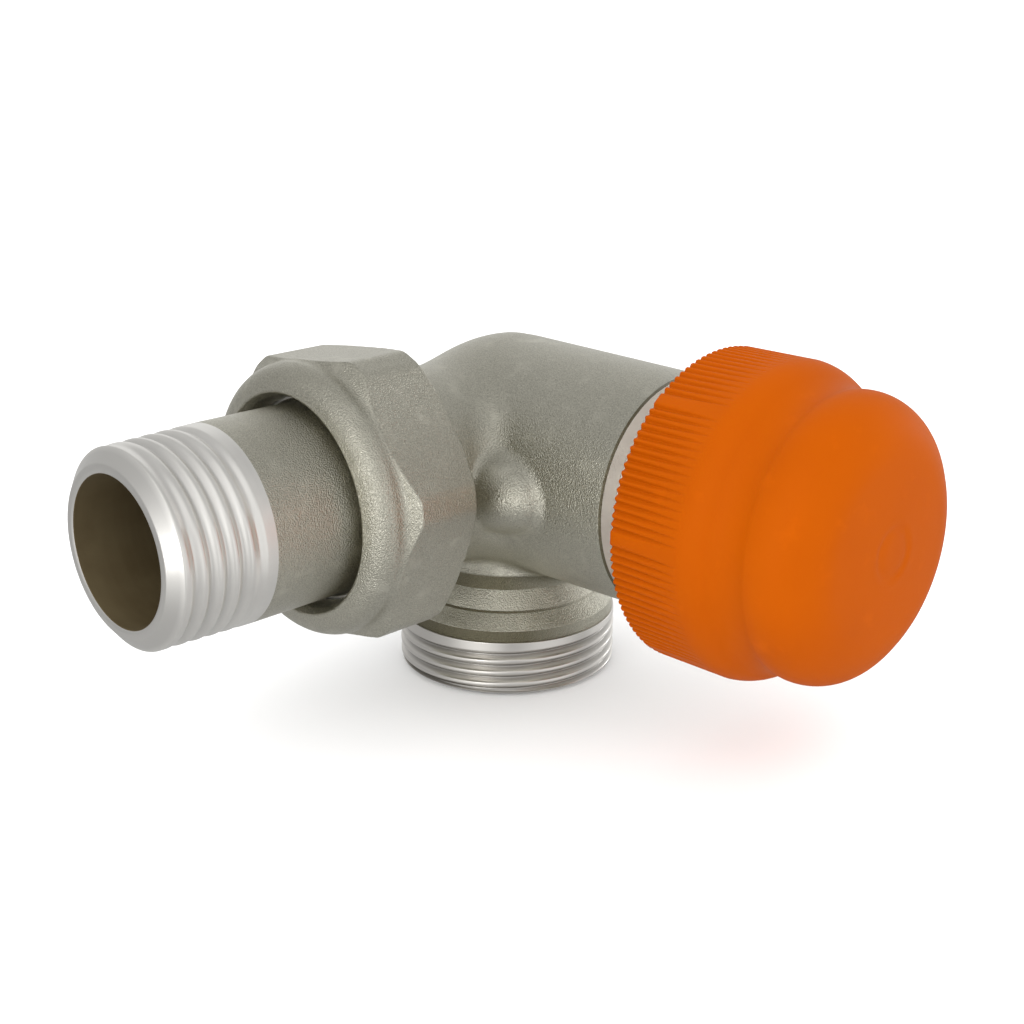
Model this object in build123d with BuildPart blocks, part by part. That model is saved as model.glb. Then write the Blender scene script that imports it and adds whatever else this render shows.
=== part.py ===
from build123d import *
import os

# Corner thermostatic radiator valve with a protective cap, in millimetres.
# Origin: centre of the lower connection's end face. +X runs out along the insert and cap,
# -Y runs out along the union tailpiece, +Z is up.
# Every piece on the insert axis is drawn by (distance along +X, radius), and every piece on
# the tail axis by (distance along -Y, radius), both counted from the crossing of the axes.

# ---- driving dimensions ------------------------------------------------------------------

axis_height = 27.3          # crossing of the three axes above the lower end face

# lower connection, outside thread with an inner cone
lower_thread_radius = 13.22
lower_thread_pitch = 1.5
lower_thread_grooves = 4
lower_first_groove = 1.0
lower_thread_top = 7.0
lower_rim_radius = 12.15
lower_cone_radius = 10.0
lower_socket_radius = 9.15
lower_socket_top = 9.2
lower_bore_radius = 7.0

# casting: chamber along +X, branch along -Y, neck down to the lower connection
chamber_face_x = 26.9
chamber_face_radius = 12.7
chamber_front_radius = 13.05
chamber_back_radius = 13.5
chamber_dome_x = 1.2
branch_radius = 11.45
branch_end = 26.7
neck_radius = 10.45
riser_radius = 4.0
bulge_length = 7.9           # half length along +X
bulge_radius = 4.9

# union thread between branch and nut
union_thread_radius = 13.22
union_thread_pitch = 1.814
union_thread_start = 20.3

# union nut
nut_back = 19.9
nut_front = 32.47
nut_flats = 30.0
nut_corner_reach = 16.6      # from the axis to the flat that blunts each corner
nut_phase = 6.4             # angle of one hexagon corner above the +X direction
nut_hex_front = 29.2
nut_mouth_radius = 12.2
nut_lip_radius = 11.2

# tailpiece with a tapered outside thread
tail_end = 53.6
tail_thread_start = 41.9
tail_thread_radius = 10.48
tail_shank_radius = 10.66
tail_thread_pitch = 1.814
tail_thread_grooves = 4
tail_first_groove = 2.4
tail_bore_radius = 7.72
tail_lip_radius = 8.0
tail_flange_radius = 11.9
tail_spigot_radius = 8.95
tail_key_flats = 12.5

# valve insert
seat_x = 3.4
orifice_radius = 5.3
disc_cavity_radius = 9.4
insert_bore_radius = 10.4
insert_shoulder_x = 16.5
head_thread_radius = 15.0
head_thread_pitch = 1.5
head_end_x = 39.2            # front of the threaded flange under the cap
stroke = 2.5
seat_gap = 2.6              # between the seat and the disc with the valve open
spindle_radius = 2.0
pin_radius = 1.5
running_gap = 0.05          # radial gap of a piece that slides or turns on another

# protective cap
cap_rim_x = 31.65
cap_rib_end_x = 40.5
cap_radius = 17.0
cap_waist_x = 44.9
cap_waist_radius = 14.75
cap_dome_radius = 15.25
cap_front_x = 53.6
cap_bore_radius = head_thread_radius + running_gap
groove_depth = 0.3
groove_half_width = 0.26
groove_groups = 7
grooves_in_group = 16
groove_spacing = 2.97       # degrees
groove_group_phase = 63.0   # degrees from +Z towards -Y, middle of one group

os.makedirs("parts", exist_ok=True)

# ---- shared planes and helpers -------------------------------------------------------------

centre = (0, 0, axis_height)
insert_plane = Plane(origin=centre, x_dir=(1, 0, 0), z_dir=(0, -1, 0))
tail_plane = Plane(origin=centre, x_dir=(0, -1, 0), z_dir=(-1, 0, 0))
lower_plane = Plane(origin=(0, 0, 0), x_dir=(0, 0, 1), z_dir=(0, 1, 0))
insert_axis = Axis(centre, (1, 0, 0))
tail_axis = Axis(centre, (0, -1, 0))
insert_line = (insert_plane, insert_axis)
tail_line = (tail_plane, tail_axis)
lower_line = (lower_plane, Axis.Z)


def across_insert(distance):
    """Plane square to the insert axis, with its local x along +Y and y along +Z."""
    return Plane(origin=(distance, 0, axis_height), x_dir=(0, 1, 0), z_dir=(1, 0, 0))


def across_tail(distance):
    """Plane square to the tail axis, with its local x along +X and y along +Z."""
    return Plane(origin=(0, -distance, axis_height), x_dir=(1, 0, 0), z_dir=(0, -1, 0))


def turned(line, outline):
    """Solid of revolution of a closed outline of (distance, radius) points."""
    plane, axis = line
    with BuildPart() as piece:
        with BuildSketch(plane):
            with BuildLine():
                Polyline(*outline, close=True)
            make_face()
        revolve(axis=axis)
    return piece.part


def ring(line, start, end, inner, outer):
    """Plain ring between two distances along its axis."""
    return turned(line, [(start, inner), (end, inner), (end, outer), (start, outer)])


def rod(line, start, end, radius):
    """Plain cylinder between two distances along its axis."""
    return ring(line, start, end, 0, radius)


def o_ring(line, distance, radius, section):
    """Ring of round section, whose middle circle has the given radius."""
    plane, axis = line
    with BuildPart() as piece:
        with BuildSketch(plane):
            with Locations((distance, radius)):
                Circle(section)
        revolve(axis=axis)
    return piece.part


def groove_rings(line, places, crest, depth, half_width):
    """Rings that cut thread grooves, one for each place; a negative depth cuts outwards."""
    floor_half = half_width / 3
    over = depth / 3
    return [
        turned(line, [
            (place - half_width, crest(place)),
            (place - floor_half, crest(place) - depth),
            (place + floor_half, crest(place) - depth),
            (place + half_width, crest(place)),
            (place + half_width, crest(place) + over),
            (place - half_width, crest(place) + over),
        ])
        for place in places
    ]


def save(name, piece):
    """Label a finished piece and write it as parts/NAME.step."""
    piece.part.label = name
    export_step(piece.part, f"parts/{name}.step")


# ---- valve body ------------------------------------------------------------------------------

chamber_shell = turned(insert_line, [
    (chamber_dome_x, 0),
    (chamber_face_x, 0),
    (chamber_face_x, chamber_face_radius),
    (chamber_face_x - 0.45, chamber_front_radius),
    (chamber_dome_x, chamber_back_radius),
])
branch_shell = turned(tail_line, [
    (0, 0),
    (branch_end, 0),
    (branch_end, union_thread_radius - 1.0),
    (branch_end - 1.0, union_thread_radius),
    (union_thread_start, union_thread_radius),
    (union_thread_start - 1.6, branch_radius),
    (0, branch_radius),
])
neck_shell = turned(lower_line, [
    (0, 0),
    (0, lower_rim_radius),
    (0.7, lower_thread_radius),
    (lower_thread_top, lower_thread_radius),
    (lower_thread_top, 13.0),
    (8.4, 13.0),
    (10.2, 11.45),
    (10.35, 11.45),
    (12.5, neck_radius),
    (14.5, neck_radius),
    (16.5, 9.2),
    (axis_height, 9.2),
    (axis_height, 0),
])

riser_top = Vector(8.5, -9.0, axis_height - 2.8)
riser_foot = Vector(4.2, -5.0, axis_height - 10.6)
riser_foot_radius = 3.4
riser_plane = Plane(origin=riser_foot, z_dir=riser_top - riser_foot)
riser_length = (riser_top - riser_foot).length
bulge_centre = Vector(11.3, -11.0, axis_height - 0.1)

lower_places = [lower_first_groove + lower_thread_pitch * n for n in range(lower_thread_grooves)]
lower_grooves = groove_rings(lower_line, lower_places, lambda s: lower_thread_radius, 0.75, 0.55)
union_places = [union_thread_start + 1.0 + union_thread_pitch * n for n in range(3)]
union_grooves = groove_rings(tail_line, union_places, lambda s: union_thread_radius, 1.0, 0.7)

passage_foot = Vector(2.5, -2.5, 11.4)
passage_top = Vector(7.4, -1.8, 20.5)
passage_plane = Plane(origin=passage_foot, z_dir=passage_top - passage_foot)
passage_radius = 3.9

waterways = [
    # insert bore, disc cavity, seat orifice and the pocket behind the seat
    turned(insert_line, [
        (-8.6, 0),
        (-8.6, 5.0),
        (-6.1, 7.5),
        (0.6, 7.5),
        (0.6, orifice_radius),
        (seat_x, orifice_radius),
        (seat_x, orifice_radius + 0.9),
        (seat_x - 0.9, orifice_radius + 1.4),
        (seat_x - 0.9, disc_cavity_radius),
        (insert_shoulder_x, disc_cavity_radius),
        (insert_shoulder_x, insert_bore_radius),
        (chamber_face_x - 0.5, insert_bore_radius),
        (chamber_face_x, insert_bore_radius + 0.5),
        (chamber_face_x, 0),
    ]),
    # union bore with the spigot seat
    turned(tail_line, [
        (15.0, 0),
        (15.0, 5.5),
        (17.0, 7.6),
        (21.6, 7.6),
        (21.6, tail_spigot_radius + running_gap),
        (branch_end - 0.4, tail_spigot_radius + running_gap),
        (branch_end, tail_spigot_radius + running_gap + 0.4),
        (branch_end, 0),
    ]),
    # lower socket with its cone
    turned(lower_line, [
        (0, 0),
        (0, lower_cone_radius),
        (3.2, lower_socket_radius),
        (lower_socket_top, lower_socket_radius),
        (lower_socket_top, lower_bore_radius),
        (12.0, lower_bore_radius),
        (12.7, lower_bore_radius - 1.5),
        (12.7, 0),
    ]),
]

with BuildPart() as valve_body:
    add(chamber_shell)
    with Locations((chamber_dome_x, 0, axis_height)):
        Sphere(chamber_back_radius)
    add(branch_shell)
    add(neck_shell)
    with Locations(riser_top):
        Sphere(riser_radius)
    with Locations(riser_plane.offset(riser_length / 2)):
        Cone(bottom_radius=riser_foot_radius, top_radius=riser_radius, height=riser_length)
    # oval bulge in the corner between chamber and branch
    with BuildSketch(Plane(origin=bulge_centre, x_dir=(1, 0, 0), z_dir=(0, -1, 0))):
        with BuildLine():
            EllipticalCenterArc((0, 0), bulge_length, bulge_radius, start_angle=0, arc_size=180)
            Line((-bulge_length, 0), (bulge_length, 0))
        make_face()
    revolve(axis=Axis(bulge_centre, (1, 0, 0)))
    add(waterways, mode=Mode.SUBTRACT)
    # passage from the union bore into the pocket, and from the lower socket to the disc cavity
    with Locations(Plane(origin=(-4.2, -10.5, axis_height), z_dir=(0.45, -1, 0))):
        Cylinder(radius=4.4, height=15, mode=Mode.SUBTRACT)
    with Locations(passage_plane.offset((passage_top - passage_foot).length / 2)):
        Cylinder(passage_radius, (passage_top - passage_foot).length, mode=Mode.SUBTRACT)
    add(lower_grooves + union_grooves, mode=Mode.SUBTRACT)
save("valve_body", valve_body)

# ---- union: tailpiece, its ring seal and the nut ----------------------------------------------


tail_places = [tail_end - tail_first_groove - tail_thread_pitch * n for n in range(tail_thread_grooves)]
tail_grooves = groove_rings(tail_line, tail_places, lambda s: tail_thread_radius, 0.55, 0.75)
run_out_place = tail_places[-1] - tail_thread_pitch
run_out = groove_rings(tail_line, [run_out_place], lambda s: tail_thread_radius, 0.35, 0.45)

with BuildPart() as tailpiece:
    add(turned(tail_line, [
        (22.0, 0),
        (22.0, tail_spigot_radius - 0.4),
        (22.4, tail_spigot_radius),
        (27.0, tail_spigot_radius),
        (27.0, tail_flange_radius - 0.3),
        (27.3, tail_flange_radius),
        (29.2, tail_flange_radius),
        (29.2, tail_shank_radius),
        (tail_thread_start - 0.2, tail_shank_radius),
        (tail_thread_start, tail_thread_radius),
        (tail_end - 1.3, tail_thread_radius),
        (tail_end - 0.9, tail_thread_radius - 0.5),
        (tail_end - 0.2, tail_bore_radius + 1.5),
        (tail_end, tail_bore_radius + 1.15),
        (tail_end, 0),
    ]))
    add(turned(tail_line, [
        (30.5, 0),
        (30.5, 6.4),
        (32.0, tail_bore_radius),
        (tail_end - 0.3, tail_bore_radius),
        (tail_end, tail_lip_radius),
        (tail_end + 1, tail_lip_radius),
        (tail_end + 1, 0),
    ]), mode=Mode.SUBTRACT)
    with BuildSketch(across_tail(21.0)):
        RegularPolygon(tail_key_flats / 2, 6, major_radius=False)
    extrude(amount=11.0, mode=Mode.SUBTRACT)
    add(tail_grooves + run_out, mode=Mode.SUBTRACT)
    add(ring(tail_line, 23.4, 25.0, tail_spigot_radius - 1.2, tail_spigot_radius + 1), mode=Mode.SUBTRACT)
save("tailpiece", tailpiece)

with BuildPart() as union_o_ring:
    add(o_ring(tail_line, 24.2, tail_spigot_radius - 0.6, 0.6))
save("union_o_ring", union_o_ring)

nut_thread_bore = union_thread_radius + running_gap
nut_places = [nut_back + 1.3 + union_thread_pitch * n for n in range(4)]
nut_grooves = groove_rings(tail_line, nut_places, lambda s: nut_thread_bore, -0.5, 0.6)

with BuildPart() as union_nut:
    with BuildSketch(across_tail(nut_back)):
        RegularPolygon(nut_flats / 2, 6, major_radius=False, rotation=nut_phase)
        RegularPolygon(nut_corner_reach, 6, major_radius=False, rotation=nut_phase + 30,
                       mode=Mode.INTERSECT)
    extrude(amount=nut_hex_front - nut_back)
    # turned bevels over the front and back corners of the hexagon
    add(turned(tail_line, [
        (nut_back, 0),
        (nut_back, 15.2),
        (nut_back + 1.3, 17.6),
        (nut_hex_front - 1.7, 17.6),
        (nut_hex_front, 14.9),
        (nut_hex_front, 0),
    ]), mode=Mode.INTERSECT)
    # rounded front collar
    with BuildSketch(tail_plane):
        with BuildLine():
            Polyline((nut_hex_front - 1.0, 0), (nut_hex_front - 1.0, 14.5), (nut_hex_front, 14.5))
            ThreePointArc((nut_hex_front, 14.5), (31.3, 14.6), (nut_front, nut_mouth_radius))
            Polyline((nut_front, nut_mouth_radius), (nut_front, 0), (nut_hex_front - 1.0, 0))
        make_face()
    revolve(axis=tail_axis)
    add(turned(tail_line, [
        (nut_back, 0),
        (nut_back, nut_thread_bore + 0.6),
        (nut_back + 0.8, nut_thread_bore),
        (nut_back + 7.6, nut_thread_bore),
        (nut_back + 7.6, nut_thread_bore + 0.3),
        (29.5, nut_thread_bore + 0.3),
        (29.5, nut_lip_radius),
        (nut_front, nut_mouth_radius),
        (nut_front, 0),
    ]), mode=Mode.SUBTRACT)
    add(nut_grooves, mode=Mode.SUBTRACT)
save("union_nut", union_nut)

# ---- valve insert, fixed pieces -----------------------------------------------------------------

head_places = [34.0 + head_thread_pitch * n for n in range(3)]
head_grooves = groove_rings(insert_line, head_places, lambda s: head_thread_radius, 0.85, 0.6)

with BuildPart() as insert_housing:
    add(turned(insert_line, [
        (12.5, 0),
        (12.5, 8.3),
        (13.0, 8.8),
        (insert_shoulder_x, 8.8),
        (insert_shoulder_x, insert_bore_radius - 0.45),
        (insert_shoulder_x + 0.4, insert_bore_radius - running_gap),
        (chamber_face_x, insert_bore_radius - running_gap),
        (chamber_face_x, 10.8),
        (chamber_face_x + 0.9, 10.8),
        (chamber_face_x + 0.9, 9.2),
        (32.6, 9.2),
        (32.6, head_thread_radius - 0.6),
        (33.2, head_thread_radius),
        (head_end_x - 0.8, head_thread_radius),
        (head_end_x - 0.2, head_thread_radius - 0.6),
        (head_end_x, head_thread_radius - 0.6),
        (head_end_x, 0),
    ]))
    with BuildSketch(across_insert(chamber_face_x + 0.9)):
        RegularPolygon(18.5 / 2, 6, major_radius=False)
    extrude(amount=31.6 - chamber_face_x - 0.9)
    add(head_grooves, mode=Mode.SUBTRACT)
    add(turned(insert_line, [
        (12.5, 0),
        (12.5, 5.6),
        (12.9, 5.6),
        (12.9, 6.2),
        (13.7, 6.2),
        (13.7, 5.6),
        (31.0, 5.6),
        (31.0, 2.7),
        (33.5, 2.7),
        (33.5, 5.2),
        (head_end_x, 5.2),
        (head_end_x, 0),
    ]), mode=Mode.SUBTRACT)
    add(ring(insert_line, 18.0, 19.8, insert_bore_radius - 1.65, insert_bore_radius + 1), mode=Mode.SUBTRACT)
save("insert_housing", insert_housing)

with BuildPart() as insert_o_ring:
    add(o_ring(insert_line, 18.9, insert_bore_radius - 0.85, 0.8))
save("insert_o_ring", insert_o_ring)

with BuildPart() as guide_bush:
    add(turned(insert_line, [
        (13.7, spindle_radius + running_gap),
        (17.4, spindle_radius + running_gap),
        (17.4, 5.0),
        (17.0, 5.6),
        (13.7, 5.6),
    ]))
save("guide_bush", guide_bush)

with BuildPart() as bush_circlip:
    with BuildSketch(across_insert(12.9)):
        Circle(6.15)
        Circle(4.9, mode=Mode.SUBTRACT)
        with Locations((0, -5.5)):
            Rectangle(3.4, 3.0, mode=Mode.SUBTRACT)
    extrude(amount=0.8)
save("bush_circlip", bush_circlip)

with BuildPart() as gland_nut:
    with BuildSketch(across_insert(39.2)):
        RegularPolygon(4.9, 6, major_radius=False)
    extrude(amount=1.8)
    add(rod(insert_line, 33.8, 39.3, 5.15))
    add(turned(insert_line, [
        (33.8, 0),
        (33.8, 2.7),
        (34.6, 2.7),
        (34.6, pin_radius + running_gap),
        (35.7, pin_radius + running_gap),
        (35.7, pin_radius + 1.5),
        (37.2, pin_radius + 1.5),
        (37.2, pin_radius + running_gap),
        (41.0, pin_radius + running_gap),
        (41.0, 0),
    ]), mode=Mode.SUBTRACT)
    add(ring(insert_line, 37.6, 38.9, 4.0, 6.0), mode=Mode.SUBTRACT)
save("gland_nut", gland_nut)

with BuildPart() as gland_o_ring:
    add(o_ring(insert_line, 36.45, pin_radius + 0.78, 0.7))
save("gland_o_ring", gland_o_ring)

with BuildPart() as gland_outer_o_ring:
    add(o_ring(insert_line, 38.25, 4.6, 0.58))
save("gland_outer_o_ring", gland_outer_o_ring)

# ---- valve insert, moving stem -------------------------------------------------------------------

disc_face = seat_x + seat_gap
disc_back = disc_face + 2.0

with BuildPart() as main_spindle:
    add(turned(insert_line, [
        (disc_face - 2.2, 0),
        (disc_face - 2.2, 1.2),
        (disc_face - 1.9, 1.5),
        (disc_back, 1.5),
        (disc_back, spindle_radius),
        (28.2, spindle_radius),
        (28.2, 1.5),
        (28.8, 1.5),
        (28.8, spindle_radius),
        (31.2, spindle_radius),
        (31.4, spindle_radius - 0.2),
        (31.4, 0),
    ]))
save("main_spindle", main_spindle)

with BuildPart() as spindle_collar:
    add(turned(insert_line, [
        (27.0, spindle_radius),
        (28.2, spindle_radius),
        (28.2, 4.8),
        (27.9, 5.2),
        (27.0, 5.2),
    ]))
save("spindle_collar", spindle_collar)

with BuildPart() as collar_clip:
    with BuildSketch(across_insert(28.2)):
        Circle(3.2)
        Circle(1.5, mode=Mode.SUBTRACT)
        with Locations((0, -2.4)):
            Rectangle(2.2, 3.0, mode=Mode.SUBTRACT)
    extrude(amount=0.6)
save("collar_clip", collar_clip)

spring_wire = 0.45
spring_start = 17.4 + spring_wire
spring_end = 27.0 - spring_wire
spring_turns = 5.5
spring_radius = 3.7
spring_length = spring_end - spring_start
with BuildPart() as return_spring:
    with BuildLine() as coil:
        Helix(spring_length / spring_turns, spring_length, spring_radius,
              center=(spring_start, 0, axis_height), direction=(1, 0, 0))
    with BuildSketch(Plane(origin=coil.line @ 0, z_dir=coil.line % 0)):
        Circle(spring_wire)
    sweep(path=coil.line, is_frenet=True)
save("return_spring", return_spring)

with BuildPart() as disc_carrier:
    add(turned(insert_line, [
        (disc_back, spindle_radius),
        (disc_back + 3.6, spindle_radius),
        (disc_back + 3.6, 3.0),
        (disc_back + 1.6, 3.4),
        (disc_back + 1.4, 6.0),
        (disc_back, 6.4),
    ]))
save("disc_carrier", disc_carrier)

with BuildPart() as valve_disc:
    add(turned(insert_line, [
        (disc_face, 1.5),
        (disc_back, 1.5),
        (disc_back, 6.4),
        (disc_face + 0.3, 6.4),
        (disc_face, 6.1),
    ]))
save("valve_disc", valve_disc)

with BuildPart() as disc_washer:
    add(ring(insert_line, disc_face - 0.5, disc_face, 1.5, 3.4))
save("disc_washer", disc_washer)

with BuildPart() as disc_nut:
    with BuildSketch(across_insert(disc_face - 2.0)):
        RegularPolygon(2.5, 6, major_radius=False)
        Circle(1.5, mode=Mode.SUBTRACT)
    extrude(amount=1.5)
save("disc_nut", disc_nut)

with BuildPart() as gland_pin:
    add(turned(insert_line, [
        (31.4, 0),
        (31.4, 2.3),
        (33.0, 2.3),
        (33.3, pin_radius),
        (43.9, pin_radius),
        (44.2, pin_radius - 0.3),
        (44.2, 0),
    ]))
save("gland_pin", gland_pin)

# ---- protective cap ------------------------------------------------------------------------------

cap_places = [34.0 + head_thread_pitch * n for n in range(5)]
cap_thread = groove_rings(insert_line, cap_places, lambda s: cap_bore_radius, -0.45, 0.6)

# one V groove, as deep as groove_depth at the rim and fading out at cap_rib_end_x
rib_length = cap_rib_end_x - cap_rim_x
with BuildPart() as rib_cutter:
    with BuildSketch(across_insert(cap_rim_x - 0.1)):
        with BuildLine():
            Polyline((0, cap_radius - groove_depth), (groove_half_width, cap_radius + 0.05),
                     (groove_half_width, cap_radius + 1), (-groove_half_width, cap_radius + 1),
                     (-groove_half_width, cap_radius + 0.05), close=True)
        make_face()
    extrude(amount=rib_length, dir=(rib_length, 0, groove_depth + 0.05))

rib_angles = [
    groove_group_phase + group * 360 / groove_groups + (n - (grooves_in_group - 1) / 2) * groove_spacing
    for group in range(groove_groups) for n in range(grooves_in_group)
]
rib_cutters = [rib_cutter.part.rotate(insert_axis, angle) for angle in rib_angles]

with BuildPart() as protective_cap:
    with BuildSketch(insert_plane):
        with BuildLine():
            Polyline((cap_front_x, 0), (cap_rim_x, 0), (cap_rim_x, cap_radius - 0.35),
                     (cap_rim_x + 0.35, cap_radius), (cap_rib_end_x - 0.4, cap_radius))
            ThreePointArc((cap_rib_end_x - 0.4, cap_radius), (42.3, 16.15), (43.9, cap_waist_radius + 0.3))
            ThreePointArc((43.9, cap_waist_radius + 0.3), (cap_waist_x - 0.3, cap_waist_radius),
                          (45.5, cap_waist_radius + 0.15))
            ThreePointArc((45.5, cap_waist_radius + 0.15), (48.8, cap_dome_radius - 0.2), (51.8, 12.7))
            ThreePointArc((51.8, 12.7), (52.8, 10.9), (53.2, 9.0))
            ThreePointArc((53.2, 9.0), (53.5, 4.5), (cap_front_x, 0))
        make_face()
    revolve(axis=insert_axis)
    add(turned(insert_line, [
        (cap_rim_x, 0),
        (cap_rim_x, cap_bore_radius + 0.4),
        (cap_rim_x + 0.4, cap_bore_radius),
        (41.4, cap_bore_radius),
        (43.4, 13.0),
        (48.4, 13.0),
        (50.6, 10.4),
        (51.3, 7.0),
        (51.3, 3.2),
        (44.25, 3.0),
        (44.25, 0),
    ]), mode=Mode.SUBTRACT)
    add(cap_thread, mode=Mode.SUBTRACT)
    add(rib_cutters, mode=Mode.SUBTRACT)
    # shallow moulding mark in the middle of the front
    add(turned(insert_line, [(cap_front_x - 0.3, 0), (cap_front_x - 0.3, 2.0),
                             (cap_front_x + 0.1, 2.4), (cap_front_x + 0.1, 0)]), mode=Mode.SUBTRACT)
save("protective_cap", protective_cap)
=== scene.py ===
import math

import bmesh
import bpy
import numpy as np
from mathutils import Matrix, Vector


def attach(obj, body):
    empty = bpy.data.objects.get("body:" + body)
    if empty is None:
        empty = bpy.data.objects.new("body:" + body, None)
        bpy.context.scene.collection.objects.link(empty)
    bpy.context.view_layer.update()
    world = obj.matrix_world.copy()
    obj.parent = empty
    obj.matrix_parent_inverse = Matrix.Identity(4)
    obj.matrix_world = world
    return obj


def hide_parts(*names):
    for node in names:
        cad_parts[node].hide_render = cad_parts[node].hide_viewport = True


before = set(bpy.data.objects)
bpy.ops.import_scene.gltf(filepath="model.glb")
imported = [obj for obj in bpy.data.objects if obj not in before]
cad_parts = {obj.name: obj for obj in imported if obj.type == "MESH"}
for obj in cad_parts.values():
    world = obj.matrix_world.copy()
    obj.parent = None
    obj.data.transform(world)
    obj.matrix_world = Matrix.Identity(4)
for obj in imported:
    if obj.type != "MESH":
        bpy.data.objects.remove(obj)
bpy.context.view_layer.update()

# Lengths in the shape code are millimetres in the frame's axes; meshes are written in metres.
MM = 0.001
AXIS_HEIGHT = 27.3          # crossing of the three axes above the lower end face
X, Y, Z = range(3)


def placed(name, data):
    """A new object in the scene."""
    made = bpy.data.objects.new(name, data)
    bpy.context.scene.collection.objects.link(made)
    return made


# ---- camera -----------------------------------------------------------------------------------

# Fitted to the rims that the photo shows, then kept as plain values.
CAMERA_AZIMUTH = math.radians(45.23)
CAMERA_ELEVATION = math.radians(18.76)
CAMERA_PLACE = (0.128608, -0.126706, 0.080013)
CAMERA_LENS = 54.902

camera_data = bpy.data.cameras.new("camera")
camera_data.sensor_width = 36.0
camera_data.lens = CAMERA_LENS
camera_data.clip_start = 0.01
camera_data.clip_end = 100.0
camera = placed("camera", camera_data)
sin_a, cos_a = math.sin(CAMERA_AZIMUTH), math.cos(CAMERA_AZIMUTH)
sin_e, cos_e = math.sin(CAMERA_ELEVATION), math.cos(CAMERA_ELEVATION)
right = (cos_a, sin_a, 0.0)
up = (-sin_e * sin_a, sin_e * cos_a, cos_e)
back = (sin_a * cos_e, -cos_a * cos_e, sin_e)
camera.matrix_world = Matrix([*zip(right, up, back, CAMERA_PLACE), (0, 0, 0, 1)])
bpy.context.scene.camera = camera

# ---- materials --------------------------------------------------------------------------------


class Shader:
    """A node material with short calls for its nodes."""

    def __init__(self, name):
        self.material = bpy.data.materials.new(name)
        self.material.use_nodes = True
        self.tree = self.material.node_tree
        self.bsdf = self.tree.nodes["Principled BSDF"]
        self.place = self.node("ShaderNodeTexCoord").outputs["Object"]

    def node(self, kind, **inputs):
        made = self.tree.nodes.new(kind)
        for key, value in inputs.items():
            self.set(made, key.replace("_", " "), value)
        return made

    def set(self, node, key, value):
        socket = node.inputs[key]
        if isinstance(value, bpy.types.NodeSocket):
            self.tree.links.new(value, socket)
        else:
            socket.default_value = value

    def noise(self, scale, detail=2.0, rough=0.5, vector=None):
        made = self.node("ShaderNodeTexNoise", Scale=scale, Detail=detail, Roughness=rough,
                         Vector=vector or self.place)
        return made.outputs["Fac"]

    def stretched(self, x, y, z):
        made = self.node("ShaderNodeMapping")
        made.inputs["Scale"].default_value = (x, y, z)
        self.tree.links.new(self.place, made.inputs["Vector"])
        return made.outputs["Vector"]

    def spread(self, value, low, high, start=0.3, end=0.7):
        made = self.node("ShaderNodeMapRange")
        self.tree.links.new(value, made.inputs["Value"])
        made.inputs["From Min"].default_value = start
        made.inputs["From Max"].default_value = end
        made.inputs["To Min"].default_value = low
        made.inputs["To Max"].default_value = high
        return made.outputs["Result"]

    def blend(self, factor, first, second):
        made = self.tree.nodes.new("ShaderNodeMix")
        made.data_type = "RGBA"
        self.tree.links.new(factor, made.inputs["Factor"])
        colours = [s for s in made.inputs if s.type == "RGBA"]
        for socket, value in zip(colours, (first, second)):
            if isinstance(value, bpy.types.NodeSocket):
                self.tree.links.new(value, socket)
            else:
                socket.default_value = (*value, 1.0)
        return [s for s in made.outputs if s.type == "RGBA"][0]

    def add(self, first, second, weight=1.0):
        made = self.tree.nodes.new("ShaderNodeMath")
        made.operation = "MULTIPLY_ADD"
        self.tree.links.new(second, made.inputs[0])
        made.inputs[1].default_value = weight
        self.tree.links.new(first, made.inputs[2])
        return made.outputs[0]

    def vector_math(self, operation, first, second=None, output="Vector"):
        made = self.tree.nodes.new("ShaderNodeVectorMath")
        made.operation = operation
        self.tree.links.new(first, made.inputs[0])
        if second is not None:
            made.inputs[1].default_value = second
        return made.outputs[output]

    def bump(self, height, distance, strength=1.0):
        made = self.node("ShaderNodeBump", Strength=strength, Distance=distance)
        self.tree.links.new(height, made.inputs["Height"])
        self.set(self.bsdf, "Normal", made.outputs["Normal"])

    def surface(self, **values):
        for key, value in values.items():
            self.set(self.bsdf, key.replace("_", " "), value)
        return self.material


def blasted_metal(name, dark, light, rough_low, rough_high, grain=6400.0, depth=0.00011, shade_height=None):
    """Grainy cast metal; below the shade height, in metres, its -Y side has painted shade."""
    s = Shader(name)
    fine = s.noise(grain, 1.5, 0.5)
    coarse = s.noise(grain * 0.5, 2.0, 0.5)
    patch = s.noise(120.0, 3.0, 0.55)
    rubbed = s.noise(310.0, 4.0, 0.6)
    colour = s.blend(s.spread(s.add(fine, patch, 0.08), 0.0, 1.0, 0.38, 0.72), dark, light)
    bright = tuple(min(1.0, c * 1.015) for c in light)
    colour = s.blend(s.spread(rubbed, 0.0, 1.0, 0.56, 0.72), colour, bright)
    # Painted shade: below the shade height the colour turns dark brown, fully on the -Y side and a
    # quarter as strong from Y = 0 on.
    if shade_height is not None:
        where = s.node("ShaderNodeSeparateXYZ")
        s.tree.links.new(s.place, where.inputs[0])
        low = s.spread(where.outputs["Z"], 1.0, 0.0, shade_height - 0.0001, shade_height + 0.0002)
        side = s.spread(where.outputs["Y"], 1.0, 0.25, -0.0075, 0.0)
        both = s.node("ShaderNodeMath")
        both.operation = "MULTIPLY"
        s.tree.links.new(low, both.inputs[0])
        s.tree.links.new(side, both.inputs[1])
        colour = s.blend(both.outputs[0], colour, (dark[0] * 0.37, dark[1] * 0.35, dark[2] * 0.28))
    s.bump(s.add(fine, coarse, 0.35), depth, 0.9)
    return s.surface(Base_Color=colour, Metallic=1.0,
                     Roughness=s.spread(coarse, rough_low, rough_high))


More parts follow.
